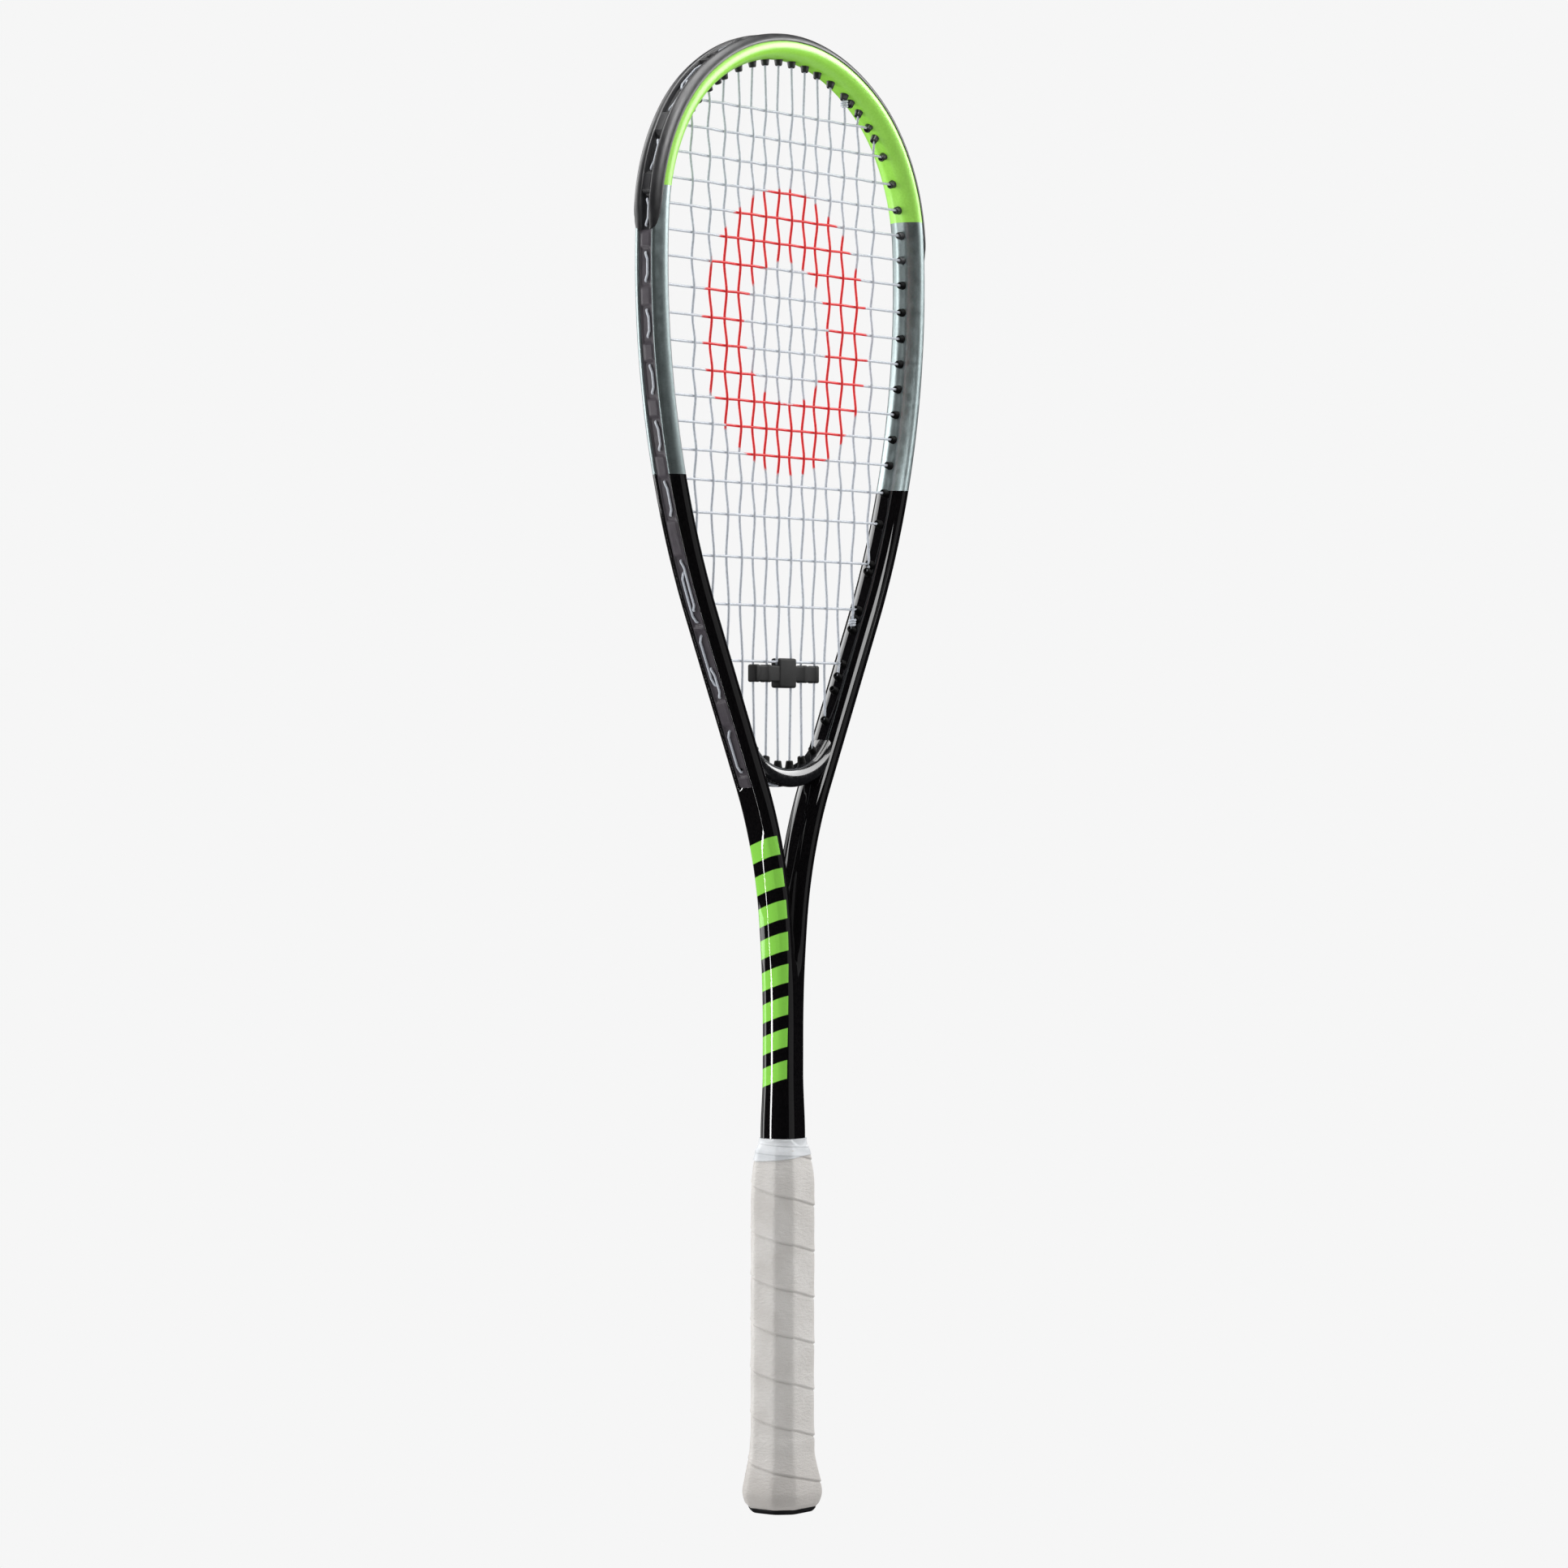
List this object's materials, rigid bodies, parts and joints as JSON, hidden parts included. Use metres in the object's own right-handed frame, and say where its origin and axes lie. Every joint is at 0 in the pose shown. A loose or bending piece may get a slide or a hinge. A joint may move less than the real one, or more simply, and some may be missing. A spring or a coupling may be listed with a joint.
{
  "type": "squash racket",
  "caption": "Strung squash racket with an open throat, slim shaft, wrapped grip, head bumper and a rubber vibration dampener that slides on the strings.",
  "frame": {"origin": "centre of the flat end of the butt, where the racket stands", "axes": "+Z along the racket from butt to head, +X across the width of the face, +Y through its thickness, the front facing -Y"},
  "size_m": [0.2108, 0.0318, 0.686],
  "materials": {
    "frame_paint": "gloss lacquer on carbon fibre, bright green head, grey sides, black arms and shaft",
    "bridge_paint": "gloss black lacquer",
    "bumper_plastic": "moulded nylon, satin gloss",
    "grommet_plastic": "moulded nylon, satin",
    "string": "silvery synthetic gut with a printed red pattern",
    "handle_foam": "rigid moulded polyurethane foam",
    "cap_plastic": "moulded plastic, fine grain",
    "badge_plastic": "blank gloss plate",
    "staple_steel": "drawn wire",
    "adhesive_film": "double-sided tape",
    "grip_cushion": "off-white cushioned synthetic leather, dry matte with fine pores",
    "finishing_tape": "white vinyl tape, satin",
    "dampener_rubber": "soft black moulded rubber"
  },
  "bodies": {
    "racket": {"frame_tube": "frame_paint", "throat_bridge": "bridge_paint", "bumper_guard": "bumper_plastic", "grommet_strip_right": "grommet_plastic", "grommet_strip_left": "grommet_plastic", "grommet_strip_bridge": "grommet_plastic", "main_string": "string", "cross_string": "string", "handle_core": "handle_foam", "butt_cap": "cap_plastic", "butt_badge": "badge_plastic", "butt_cap_staples": "staple_steel", "grip_staple": "staple_steel", "grip_adhesive": "adhesive_film", "grip_wrap": "grip_cushion", "finishing_tape": "finishing_tape"},
    "dampener": {"vibration_dampener": "dampener_rubber"}
  },
  "joints": [
    {"name": "dampener_slide", "type": "slide", "parent": "racket", "child": "dampener", "axis": [0, 0, -1], "range_m": [0, 0.028]}
  ]
}
